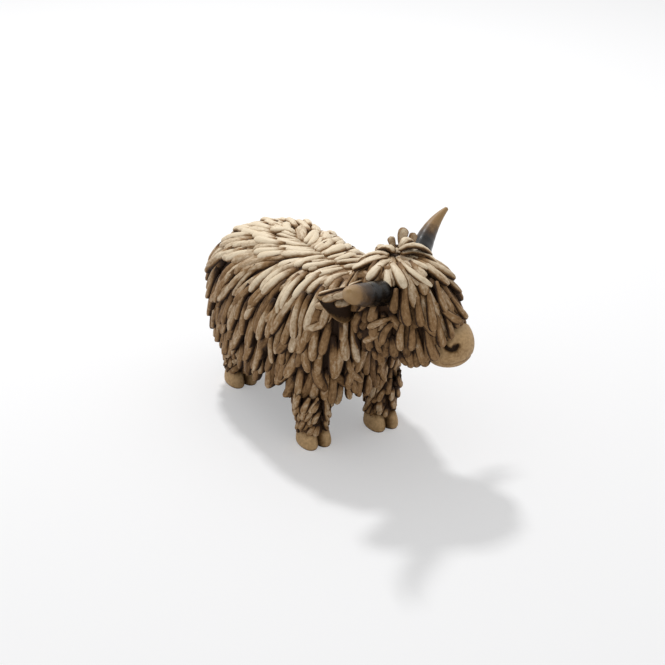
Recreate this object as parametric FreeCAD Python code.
import FreeCAD, Part

import math
import os

# A shaggy long-horned cow, standing with its head turned to the left. Millimetres.
# +X is forwards, +Y is the beast's left and +Z is up. The sizes are measured from the middle of the
# stance, on the ground. At the end everything moves so that the origin is under the middle of the
# figure's box.
# The coat is built as a sculptor lays it: tongue-shaped locks in courses on a plain core, where each
# course laps over the roots of the course below, like the slates of a roof. Every lock is a solid of
# its own, and no two of them touch.

V = FreeCAD.Vector
UP = V(0, 0, 1)
WHOLE_TURN = 2 * math.pi

# Stance, from leg to leg.
leg_stride = 96.0
leg_track = 47.0

# Core of the trunk, with the neck.
spine_height = 106.0
belly_height = 34.0
chest_reach = 61.0
rump_reach = 78.0
trunk_half_width = 40.0
skirt_drop = 6.0

# Core of the head, placed from the chest and the spine. The hair parts all round from its crown.
crown_ahead = 17.0
crown_left = 12.0
crown_rise = 18.0
head_depth = 62.0
crown_forward = chest_reach + crown_ahead
crown_height = spine_height + crown_rise
jaw_height = crown_height - head_depth
head_turn = 35.0
brow_reach = 41.0
nape_reach = 21.0
head_half_width = 25.0
beard_drop = 1.0

# Muzzle, a smooth ball on the front of the head. Its place is measured from the crown.
muzzle_forward = 35.0
muzzle_drop = 47.0
muzzle_height = crown_height - muzzle_drop
muzzle_length = 30.0
muzzle_width = 31.0
muzzle_depth = 25.0
nostril_spacing = 13.0
nostril_rise = 2.0
nostril_length = 6.0
nostril_width = 2.2
nostril_depth = 3.0
nostril_slant = 25.0

# Legs and hooves.
thigh_width = 16.5
leg_bury = 14.0
hoof_height = 9.5
hoof_width = 18.5
hoof_length = 19.5
cleft_width = 1.2

# Horns, measured from the crown, to the side that each horn is on. Each curves from its root towards
# its elbow and comes from there to its tip.
horn_ahead = 7.0
horn_drop = 15.0
horn_root_out = 15.5
horn_elbow_back = 4.5
horn_elbow_out = 58.0
horn_elbow_rise = 10.5
horn_tip_ahead = 5.0
horn_tip_out = 69.5
horn_tip_rise = 21.0
horn_base_width = 14.5
horn_tip_width = 2.5
horn_taper = 2.2
tenon_width = 6.0
tenon_length = 14.0
tenon_start = 13.0
tenon_clearance = 0.15

# Ears, behind the horns.
ear_back = 10.5
ear_drop = 16.0
ear_root_out = 17.0
ear_tip_back = 23.0
ear_tip_out = 42.0
ear_tip_drop = 13.0
ear_width = 16.5
ear_thickness = 3.6

# Tail, which lies on the rump, and the tuft that ends it. Distances run down the skin.
tail_width = 7.0
tail_start = 52.0
tail_end = 84.0
tail_rings = 10
tail_lift = 0.6
tuft_length = 22.0
tuft_width = 9.5

# Coat. The pitch is the room for one lock along its course.
trunk_pitch = 9.8
trunk_courses = 7
back_courses = 2
skirt_courses = 2
head_pitch = 6.8
head_courses = 5
leg_pitch = 8.0
leg_courses = 3
leg_coat_top = 38.0
lock_lift = 0.28
lock_crowning_share = 0.95   # of how far the skin is crowned across a lock
lap_clearance = 0.4
room_clearance = 0.4
muzzle_margin = 1.0

# Fineness of the outlines.
trunk_sides = 34
girth_steps = 24             # for measuring round a form
head_sides = 24
limb_sides = 12
horn_sides = 14
horn_rings = 9
trunk_squareness = 3.0
head_squareness = 2.3
round_squareness = 2.0
overrun = 1.0
skin_step = 0.02
around_step_share = 0.0005     # of a whole turn

# One lock: where its four rings lie along it, how wide they are and how far they have risen over the
# course below. Lengths are shares of the step from course to course, and the rest of its own width.
lock_reach_shares = (0.0, 0.5, 0.98, 1.5)
lock_swell_shares = (0.5, 0.92, 1.0, 0.5)
lock_lap_shares = (0.0, 0.0, 0.8, 1.0)
lock_width_share = 0.82
lock_thick_share = 0.30
lock_flat_share = 0.60
lock_room_share = 0.92
# How a lock that is in the way gives way: how much later it starts, and how much shorter it gets.
trim_shares = ((0.0, 1.0), (0.0, 0.85), (0.0, 0.7), (0.0, 0.56), (0.5, 0.44),
               (0.0, 0.42), (0.62, 0.3), (0.0, 0.3))
trunk_lean_share = 0.9
coat_thick_share = 0.55      # of the pitch, where one course laps over the next
ear_guard_share = 0.92       # of the ear's width, kept clear of hair
end_share = 0.86             # a lock that faces this much forwards or backwards is at an end

# Levels of each form from the top down: height, reach forwards, reach backwards and half width, as
# shares of the sizes above.
trunk_level_shares = (
    (1.0, 0.86, 0.30, 0.05),
    (0.975, 1.0, 0.52, 0.40),
    (0.905, 1.10, 0.76, 0.66),
    (0.78, 1.17, 0.91, 0.86),
    (0.60, 1.17, 0.985, 0.97),
    (0.38, 1.09, 1.0, 1.0),
    (0.19, 1.0, 0.98, 0.975),
    (0.05, 0.91, 0.91, 0.90),
    (0.0, 0.84, 0.84, 0.81),
)
skirt_rows = 7               # of the rows above, before the hair hangs free
skirt_level_share = (0.825, 0.95, 0.95)
head_level_shares = (
    (1.0, 0.09, 0.14, 0.12),
    (0.955, 0.38, 0.56, 0.52),
    (0.83, 0.66, 0.86, 0.83),
    (0.65, 0.86, 1.0, 0.98),
    (0.44, 0.97, 0.95, 0.98),
    (0.24, 1.0, 0.74, 0.86),
    (0.07, 0.95, 0.42, 0.62),
    (0.0, 0.82, 0.15, 0.42),
)
beard_rows = 6
beard_level_share = (0.86, 0.45, 0.56)
muzzle_level_shares = (
    (1.0, 0.42, 0.42, 0.42),
    (0.88, 0.76, 0.76, 0.78),
    (0.68, 0.94, 0.94, 0.96),
    (0.44, 1.0, 1.0, 1.0),
    (0.22, 0.90, 0.90, 0.90),
    (0.06, 0.66, 0.66, 0.66),
    (0.0, 0.42, 0.42, 0.42),
)
leg_level_shares = (
    (1.0, 1.0, 1.0, 1.0),
    (0.62, 1.0, 1.0, 1.0),
    (0.2, 0.84, 0.84, 0.84),
    (0.0, 0.88, 0.88, 0.88),
)
# The two toes of a hoof together, as levels too. The cleft runs forwards from its start.
toe_level_shares = (
    (1.0, 0.72, 0.86, 0.84),
    (0.55, 0.93, 0.97, 0.97),
    (0.18, 1.0, 1.0, 1.0),
    (0.0, 0.90, 0.92, 0.90),
)
cleft_start_share = 0.12     # of the hoof's length, ahead of its middle
# An ear and the tuft of the tail: how far along, and how wide.
ear_leaf_shares = ((0.0, 0.55), (0.25, 0.85), (0.5, 1.0), (0.75, 0.88), (0.92, 0.5), (1.0, 0.2))
tuft_leaf_shares = ((0.0, 0.6), (0.2, 0.85), (0.5, 1.0), (0.8, 0.7), (1.0, 0.22))
ear_hollow_share = 0.55      # of the ear's thickness, from its middle to the middle of the hollow
ear_hollow_width_share = 0.7


def heading(turn):
    """Forwards and left of a thing that is turned to the left by so many degrees."""
    angle = math.radians(turn)
    forwards = V(math.cos(angle), math.sin(angle), 0)
    return forwards, UP.cross(forwards)


def form(foot, turn, height, front, back, half, shares, squareness):
    """A stack of level outlines, with its sizes worked out from the table of its shares."""
    forwards, left = heading(turn)
    rows = [(height * h, front * f, back * b, half * w) for h, f, b, w in shares]
    return {"foot": foot, "forwards": forwards, "left": left, "rows": rows, "squareness": squareness}


def rim(body, angle, row):
    """Point of a level outline, at an angle from forwards round to the left."""
    height, front, back, half = row
    cosine, sine = math.cos(angle), math.sin(angle)
    power = body["squareness"]
    swell = (abs(cosine) ** power + abs(sine) ** power) ** (-1 / power)
    ahead = cosine * swell * (front if cosine > 0 else back)
    return body["foot"] + body["forwards"] * ahead + body["left"] * (sine * swell * half) + UP * height


def blend(low, high, share):
    """A row between two rows."""
    return tuple(a + (b - a) * share for a, b in zip(low, high))


def row_along(body, angle, distance):
    """The row that is so far down the skin from the top, and past the last row straight on."""
    rows = body["rows"]
    left_over = distance
    for upper, lower in zip(rows, rows[1:]):
        step = (rim(body, angle, lower) - rim(body, angle, upper)).Length
        if left_over <= step or lower is rows[-1]:
            return blend(upper, lower, left_over / step)
        left_over -= step


def skin(body, angle, distance):
    """Point of the skin, so far down from the top."""
    return rim(body, angle, row_along(body, angle, distance))


def drop_length(body, angle):
    """Length of the skin from the top row to the bottom row."""
    rows = body["rows"]
    steps = [rim(body, angle, b) - rim(body, angle, a) for a, b in zip(rows, rows[1:])]
    return sum(step.Length for step in steps)


def outwards(body, angle, distance):
    """Direction straight out of the skin."""
    aside = WHOLE_TURN * around_step_share
    around = skin(body, angle + aside, distance) - skin(body, angle - aside, distance)
    down = skin(body, angle, distance + skin_step) - skin(body, angle, distance)
    return down.cross(around).normalize()


def width_between(body, angle, distance, spread, across):
    """Width of the skin between two angles, measured across a lock."""
    return abs((skin(body, angle + spread, distance) - skin(body, angle - spread, distance)).dot(across))


def holds(body, point, margin):
    """Whether a point is inside a form that is thickened by the margin."""
    offset = point - body["foot"]
    ahead = offset.dot(body["forwards"])
    aside = offset.dot(body["left"])
    rows = body["rows"]
    if not rows[-1][0] - margin <= offset.z <= rows[0][0] + margin:
        return False
    height = min(max(offset.z, rows[-1][0]), rows[0][0])
    for upper, lower in zip(rows, rows[1:]):
        if height >= lower[0]:
            row = blend(upper, lower, (upper[0] - height) / (upper[0] - lower[0]))
            reach = (row[1] if ahead > 0 else row[2]) + margin
            power = body["squareness"]
            return (abs(ahead) / reach) ** power + (abs(aside) / (row[3] + margin)) ** power < 1
    return False


def near(path, point, margin):
    """Whether a point is closer than the margin to a chain of (place, half width)."""
    for (start, thick), (end, thin) in zip(path, path[1:]):
        span = end - start
        share = min(max((point - start).dot(span) / span.dot(span), 0), 1)
        half = thick + (thin - thick) * share
        if (point - start - span * share).Length < half + margin:
            return True
    return False


def closed_solid(faces):
    """A solid from the faces that bound it, with its outside outwards."""
    solid = Part.makeSolid(Part.makeShell(faces))
    if solid.Volume < 0:
        solid.reverse()
    return solid


def polygon(points):
    return Part.Face(Part.makePolygon(list(points) + [points[0]]))


def stacked(rings):
    """A solid through rings of points, with three-cornered faces from ring to ring."""
    faces = [polygon(rings[0]), polygon(rings[-1])]
    for upper, lower in zip(rings, rings[1:]):
        for i in range(len(upper)):
            j = (i + 1) % len(upper)
            faces.append(polygon([upper[i], upper[j], lower[i]]))
            faces.append(polygon([upper[j], lower[j], lower[i]]))
    return closed_solid(faces)


def core(body, sides):
    """The solid of a form."""
    angles = [WHOLE_TURN * i / sides for i in range(sides)]
    return stacked([[rim(body, angle, row) for angle in angles] for row in body["rows"]])


def tongue(rings):
    """A solid through four-cornered rings that are parallel to one another, with flat faces."""
    faces = [polygon(rings[0]), polygon(rings[-1])]
    for upper, lower in zip(rings, rings[1:]):
        for i in range(len(upper)):
            j = (i + 1) % len(upper)
            faces.append(polygon([upper[i], upper[j], lower[j], lower[i]]))
    return closed_solid(faces)


def lock_rings(body, angle, half_step, start, step, lean, pitch, lapping, trim):
    """The four rings of one lock, on the skin of a form.

    Each ring's underside is raised by what the skin bulges up across the lock and along it, so the
    flat underside clears the skin, and by what the lock laps over.
    """
    reaches = [start + step * share * trim for share in lock_reach_shares]
    angles = [angle + lean * share * trim for share in lock_reach_shares]
    places = [skin(body, a, s) for a, s in zip(angles, reaches)]
    normals = [outwards(body, a, s) for a, s in zip(angles, reaches)]
    along = (places[-1] - places[0]).normalize()
    out = normals[1] + normals[2]
    out = (out - along * out.dot(along)).normalize()
    across = along.cross(out)
    rooms = [width_between(body, a, s, half_step, across) for a, s in zip(angles, reaches)]
    width = min(rooms[1], rooms[2], pitch) * lock_width_share
    thickest = pitch * lock_width_share * lock_thick_share
    bulges = []
    for i in range(len(places) - 1):
        halfway = skin(body, (angles[i] + angles[i + 1]) / 2, (reaches[i] + reaches[i + 1]) / 2)
        bulges.append(max((halfway - (places[i] + places[i + 1]) / 2).dot(out), 0))
    bulges = [bulges[0]] + [max(a, b) for a, b in zip(bulges, bulges[1:])] + [bulges[-1]]
    rings = []
    for i, place in enumerate(places):
        wide = min(width * lock_swell_shares[i], rooms[i] * lock_room_share)
        lap = (thickest + lap_clearance) * lock_lap_shares[i] if lapping else 0
        spread = (max(wide, width) if lap else wide) / rooms[i] * half_step
        edges = skin(body, angles[i] + spread, reaches[i]) + skin(body, angles[i] - spread, reaches[i])
        crowning = max((place - edges / 2).dot(out), 0) * lock_crowning_share
        bulge = max(bulges) if lap else bulges[i]
        rise = lock_lift + (bulge + crowning + lap) / normals[i].dot(out)
        under = place + out * rise
        top = under + out * wide * lock_thick_share
        half = across * (wide / 2)
        flat = half * lock_flat_share
        rings.append([under - half, under + half, top + flat, top - flat])
    return rings


def girth_line(body, share, count):
    """Angles round the skin at one share of the way down it, and the lengths between them."""
    fine = [WHOLE_TURN * i / count for i in range(count + 1)]
    points = [skin(body, angle, drop_length(body, angle) * share) for angle in fine]
    return fine, [(b - a).Length for a, b in zip(points, points[1:])]


def spaced_angles(body, share, count, offset):
    """Angles of places evenly spaced round the skin, each with half its own step to the next."""
    fine, lengths = girth_line(body, share, count * girth_steps)
    whole = sum(lengths)
    angles = []
    passed = 0
    for angle, length in zip(fine, lengths):
        if passed + length > whole * (len(angles) + offset) / count:
            angles.append(angle)
        passed += length
    after = angles[1:] + [angles[0] + WHOLE_TURN]
    before = [angles[-1] - WHOLE_TURN] + angles[:-1]
    return [(angle, (b - a) / 4) for angle, a, b in zip(angles, before, after)]


def middle_of(points):
    return sum(points, V()) / len(points)


def blocks_of(rings):
    """A lock as the blocks between its rings: the middle, the size, the corners and the faces."""
    blocks = []
    for upper, lower in zip(rings, rings[1:]):
        corners = upper + lower
        middle = middle_of(corners)
        faces = []
        for i in range(len(upper)):
            j = (i + 1) % len(upper)
            faces.append((upper[i], (upper[j] - upper[i]).cross(lower[i] - upper[i])))
        for ring in (upper, lower):
            faces.append((ring[0], (ring[1] - ring[0]).cross(ring[2] - ring[0])))
        faces = [(p, n if n.dot(p - middle) > 0 else n * -1) for p, n in faces]
        size = max((corner - middle).Length for corner in corners)
        blocks.append((middle, size, corners, faces))
    return blocks


def apart(block, other):
    """Whether some face of one block has the whole of the other outside it."""
    if (block[0] - other[0]).Length > block[1] + other[1]:
        return True
    for one, two in ((block, other), (other, block)):
        for point, normal in one[3]:
            if all((corner - point).dot(normal) > 0 for corner in two[2]):
                return True
    return False


def lies_free(blocks, laid):
    """Whether a lock, as blocks, is clear of all the locks that are laid already."""
    middle = middle_of([block[0] for block in blocks])
    size = max((block[0] - middle).Length + block[1] for block in blocks)
    for centre, reach, others in laid:
        if (centre - middle).Length < size + reach:
            if not all(apart(block, other) for block in blocks for other in others):
                return False
    laid.append((middle, size, blocks))
    return True


def clear_of(rings, obstacles):
    """Whether no corner or middle of a lock's rings is inside an obstacle."""
    points = [point for ring in rings for point in ring + [(ring[0] + ring[2]) / 2]]
    for test, shape, margin in obstacles:
        if any(test(shape, point, margin) for point in points):
            return False
    return True


def coat(body, courses, pitch, lean, obstacles, laid, node_of):
    """Lay the locks of one form, course by course, and sort them into named groups.

    A lock that something is in the way of starts later or gets shorter, and is left out if that
    doesn't free it.
    """
    groups = {}
    lengths = courses - 1 + lock_reach_shares[-1]
    for course in range(courses):
        middle = (course + lock_reach_shares[1]) / lengths
        count = round(sum(girth_line(body, middle, girth_steps)[1]) / pitch)
        offset = (1 + course % 2) / 2
        for angle, half_step in spaced_angles(body, middle, count, offset):
            step = drop_length(body, angle) / lengths
            slant = lean(angle, course) * 2 * half_step
            for late, trim in trim_shares:
                start = step * (course + late)
                lapping = course < courses - 1
                rings = lock_rings(body, angle, half_step, start, step, slant, pitch, lapping, trim)
                if clear_of(rings, obstacles) and lies_free(blocks_of(rings), laid):
                    groups.setdefault(node_of(angle, course), []).append(tongue(rings))
                    break
    return groups


def placed(ahead, side, out, height):
    """A place on the head, by how far it is ahead of the crown and out to one side."""
    forwards, left = heading(head_turn)
    return V(crown_forward, crown_left, height) + forwards * ahead + left * (side * out)


def curve(start, elbow, end, count):
    """Places along a curve that leaves the start towards the elbow and comes from it to the end."""
    shares = [i / (count - 1) for i in range(count)]
    return [start * (1 - s) ** 2 + elbow * (2 * s * (1 - s)) + end * s ** 2 for s in shares]


def tube(places, widths, thicknesses, sides, level):
    """A solid round a line of places, oval where its width and thickness differ."""
    rings = []
    for i, place in enumerate(places):
        along = places[min(i + 1, len(places) - 1)] - places[max(i - 1, 0)]
        across = along.cross(level).normalize()
        upright = across.cross(along).normalize()
        ring = []
        for k in range(sides):
            angle = WHOLE_TURN * k / sides
            ring.append(place + across * (math.cos(angle) * widths[i] / 2)
                        + upright * (math.sin(angle) * thicknesses[i] / 2))
        rings.append(ring)
    return stacked(rings)


def nostril(side):
    """The block that a slanted nostril is cut with, in the front of the muzzle."""
    slot = Part.makeBox(nostril_depth + overrun, nostril_width, nostril_length,
                        V(-nostril_depth, -nostril_width / 2, -nostril_length / 2))
    slot.rotate(V(), V(1, 0, 0), side * nostril_slant)
    slot.rotate(V(), UP, head_turn)
    slot.translate(placed(muzzle_forward + muzzle_length / 2, side, nostril_spacing / 2,
                          muzzle_height + nostril_rise))
    return slot


def hanging(body, share, drop):
    """A last row under a form, for hair that hangs below it."""
    front, back, half = share
    widest = [max(row[i] for row in body["rows"]) for i in range(1, 4)]
    return (-drop, widest[0] * front, widest[1] * back, widest[2] * half)


def horn_bends(side):
    """The root, the elbow and the tip of one horn."""
    root_height = crown_height - horn_drop
    root = placed(horn_ahead, side, horn_root_out, root_height)
    elbow = placed(-horn_elbow_back, side, horn_elbow_out, root_height + horn_elbow_rise)
    tip = placed(horn_tip_ahead, side, horn_tip_out, root_height + horn_tip_rise)
    return root, elbow, tip


def horn_line(side):
    """Places along one horn, and its width at each."""
    shares = [i / (horn_rings - 1) for i in range(horn_rings)]
    widths = [horn_base_width + (horn_tip_width - horn_base_width) * s ** horn_taper for s in shares]
    return curve(*horn_bends(side), horn_rings), widths


def horn(side, head_core):
    """A horn that stands on the skin of the head, with the peg that it is glued in by."""
    places, widths = horn_line(side)
    body = tube(places, widths, widths, horn_sides, UP).cut(head_core)
    return body.fuse(tenon(side, tenon_width, tenon_length))


def tenon(side, width, length):
    """The peg, or with more width and length the hole for it. It starts in the thick of the horn."""
    root, elbow, tip = horn_bends(side)
    onwards = (elbow - root).normalize()
    return Part.makeCylinder(width / 2, length, root + onwards * tenon_start, onwards * -1)


def ear_line(side):
    """Places along one ear, and its width at each."""
    root = placed(-ear_back, side, ear_root_out, crown_height - ear_drop)
    tip = placed(-ear_tip_back, side, ear_tip_out, crown_height - ear_tip_drop)
    places = [root + (tip - root) * s for s, w in ear_leaf_shares]
    return places, [ear_width * w for s, w in ear_leaf_shares]


def ear(side, head_core):
    """A leaf-shaped ear, hollowed on the side that faces forwards."""
    forwards = heading(head_turn)[0]
    places, widths = ear_line(side)
    thicknesses = [width * ear_thickness / ear_width for width in widths]
    leaf = tube(places, widths, thicknesses, limb_sides, forwards)
    inset = forwards * (ear_thickness * ear_hollow_share)
    narrow = [width * ear_hollow_width_share for width in widths]
    hollow = tube([place + inset for place in places], narrow, thicknesses, limb_sides, forwards)
    return leaf.cut(hollow).cut(head_core)


def leg(ahead, side, trunk_core):
    """The post of one leg, from the top of its hoof up into the trunk."""
    foot = V(ahead, side, hoof_height)
    top = belly_height + leg_bury - hoof_height
    post = form(foot, 0, top, thigh_width / 2, thigh_width / 2, thigh_width / 2,
                leg_level_shares, round_squareness)
    return post, core(post, limb_sides).cut(trunk_core)


def sleeve(post):
    """The part of a leg that its own coat covers."""
    top = row_along(post, 0, post["rows"][0][0] + hoof_height - leg_coat_top)
    rows = [top] + [row for row in post["rows"] if 0 < row[0] < top[0]]
    return {**post, "rows": rows + [(room_clearance,) + post["rows"][-1][1:]]}


def hoof(ahead, side):
    """Two rounded toes with a cleft between them, joined at the back."""
    toes = form(V(ahead, side, 0), 0, hoof_height, hoof_length / 2, hoof_length / 2, hoof_width / 2,
                toe_level_shares, round_squareness)
    cleft = Part.makeBox(hoof_length, cleft_width, hoof_height + 2 * overrun,
                         V(ahead + hoof_length * cleft_start_share, side - cleft_width / 2, -overrun))
    return core(toes, limb_sides).cut(cleft)


def tail_line(trunk):
    """Places along the tail, down the middle of the rump."""
    behind = WHOLE_TURN / 2
    stations = [tail_start + (tail_end - tail_start) * i / (tail_rings - 1) for i in range(tail_rings)]
    return [skin(trunk, behind, s) + outwards(trunk, behind, s) * (tail_width / 2 + tail_lift)
            for s in stations]


def tail_tuft_line(trunk):
    """Places along the tuft at the end of the tail."""
    behind = WHOLE_TURN / 2
    stations = [tail_end + room_clearance + tuft_length * s for s, w in tuft_leaf_shares]
    return [skin(trunk, behind, s) + outwards(trunk, behind, s) * (tuft_width / 2 + tail_lift)
            for s in stations]


def tail(trunk):
    """The dock of the tail, and the tuft that hangs from it, both lying on the rump."""
    rear = V(-1, 0, 0)
    places = tail_line(trunk)
    widths = [tail_width] * tail_rings
    dock = tube(places, widths, widths, limb_sides, rear)
    widths = [tuft_width * w for s, w in tuft_leaf_shares]
    return dock, tube(tail_tuft_line(trunk), widths, widths, limb_sides, rear)


def trunk_lean(angle, course):
    """The back's locks flow backwards as they go down, and the belly's hang straight."""
    return trunk_lean_share * math.sin(angle) * (1 - course / (trunk_courses - 1))


def no_lean(angle, course):
    return 0


def trunk_node(angle, course):
    if math.cos(angle) > end_share:
        return "coat_chest"
    if math.cos(angle) < -end_share:
        return "coat_rump"
    side = "left" if math.sin(angle) > 0 else "right"
    lower = "flank" if course < trunk_courses - skirt_courses else "skirt"
    return "coat_" + ("back" if course < back_courses else lower) + "_" + side


def head_node(angle, course):
    if course == 0:
        return "coat_crown"
    if abs(math.cos(angle)) > end_share / 2:
        return "coat_forelock" if math.cos(angle) > 0 else "coat_nape"
    return "coat_cheek_" + ("left" if math.sin(angle) > 0 else "right")


trunk = form(V(0, 0, belly_height), 0, spine_height - belly_height, chest_reach, rump_reach,
             trunk_half_width, trunk_level_shares, trunk_squareness)
head = form(placed(0, 1, 0, jaw_height), head_turn, crown_height - jaw_height, brow_reach, nape_reach,
            head_half_width, head_level_shares, head_squareness)
muzzle = form(placed(muzzle_forward, 1, 0, muzzle_height - muzzle_depth / 2), head_turn, muzzle_depth,
              muzzle_length / 2, muzzle_length / 2, muzzle_width / 2, muzzle_level_shares,
              round_squareness)
trunk_core = core(trunk, trunk_sides)
head_core = core(head, head_sides).cut(trunk_core)
pieces = {"trunk": [trunk_core]}
snout = core(muzzle, head_sides).cut(head_core)
sides = {"left": 1, "right": -1}
ends = {"front": 1, "rear": -1}
legs = []
for side_name, side in sides.items():
    pieces["horn_" + side_name] = [horn(side, head_core)]
    pieces["ear_" + side_name] = [ear(side, head_core).cut(trunk_core)]
    snout = snout.cut(nostril(side))
    for end_name, end in ends.items():
        post, solid = leg(end * leg_stride / 2, side * leg_track / 2, trunk_core)
        legs.append((end_name + "_" + side_name, post))
        pieces["leg_" + end_name + "_" + side_name] = [solid]
        pieces["hoof_" + end_name + "_" + side_name] = [hoof(end * leg_stride / 2, side * leg_track / 2)]
for side in sides.values():
    hole = tenon(side, tenon_width + 2 * tenon_clearance, tenon_length + tenon_clearance)
    head_core = head_core.cut(hole)
pieces["head"] = [head_core]
pieces["muzzle"] = [snout]
dock, tuft = tail(trunk)
pieces["tail"] = [dock]
pieces["tail_tuft"] = [tuft]
stubs = []
for side in sides.values():
    places, widths = horn_line(side)
    stubs.append([(place, width / 2) for place, width in zip(places, widths)])
    stubs.append([(place, ear_width * ear_guard_share / 2) for place in ear_line(side)[0]])
rump_line = [(place, tail_width / 2) for place in tail_line(trunk)]
tuft_line = [(place, tuft_width / 2) for place in tail_tuft_line(trunk)]
trunk_bare = trunk
in_way = [(holds, head, room_clearance), (near, rump_line, room_clearance),
          (near, tuft_line, room_clearance)]
in_way += [(holds, post, room_clearance) for name, post in legs]
in_way += [(holds, sleeve(post), leg_pitch * coat_thick_share) for name, post in legs]
in_way += [(near, stub, room_clearance) for stub in stubs]
trunk = {**trunk, "rows": trunk["rows"][:skirt_rows] + [hanging(trunk, skirt_level_share, skirt_drop)]}
laid = []
pieces.update(coat(trunk, trunk_courses, trunk_pitch, trunk_lean, in_way, laid, trunk_node))
in_way = [(holds, trunk, room_clearance), (holds, muzzle, muzzle_margin)]
in_way += [(near, stub, room_clearance) for stub in stubs]
head = {**head, "rows": head["rows"][:beard_rows] + [hanging(head, beard_level_share, beard_drop)]}
pieces.update(coat(head, head_courses, head_pitch, no_lean, in_way, laid, head_node))
for name, post in legs:
    node = "coat_leg_" + name
    pieces.update(coat(sleeve(post), leg_courses, leg_pitch, no_lean, [(holds, trunk_bare, room_clearance)],
                       laid, lambda angle, course: node))

box = FreeCAD.BoundBox()
for solids in pieces.values():
    for solid in solids:
        box.add(solid.BoundBox)
origin = V(box.Center.x, box.Center.y, box.ZMin)
print("origin, from the middle of the stance:", origin)
os.makedirs("parts", exist_ok=True)
for name, solids in pieces.items():
    shape = solids[0] if len(solids) == 1 else Part.makeCompound(solids)
    shape.translate(-origin)
    shape.exportStep("parts/" + name + ".step")
    print(name, len(solids), "solids")
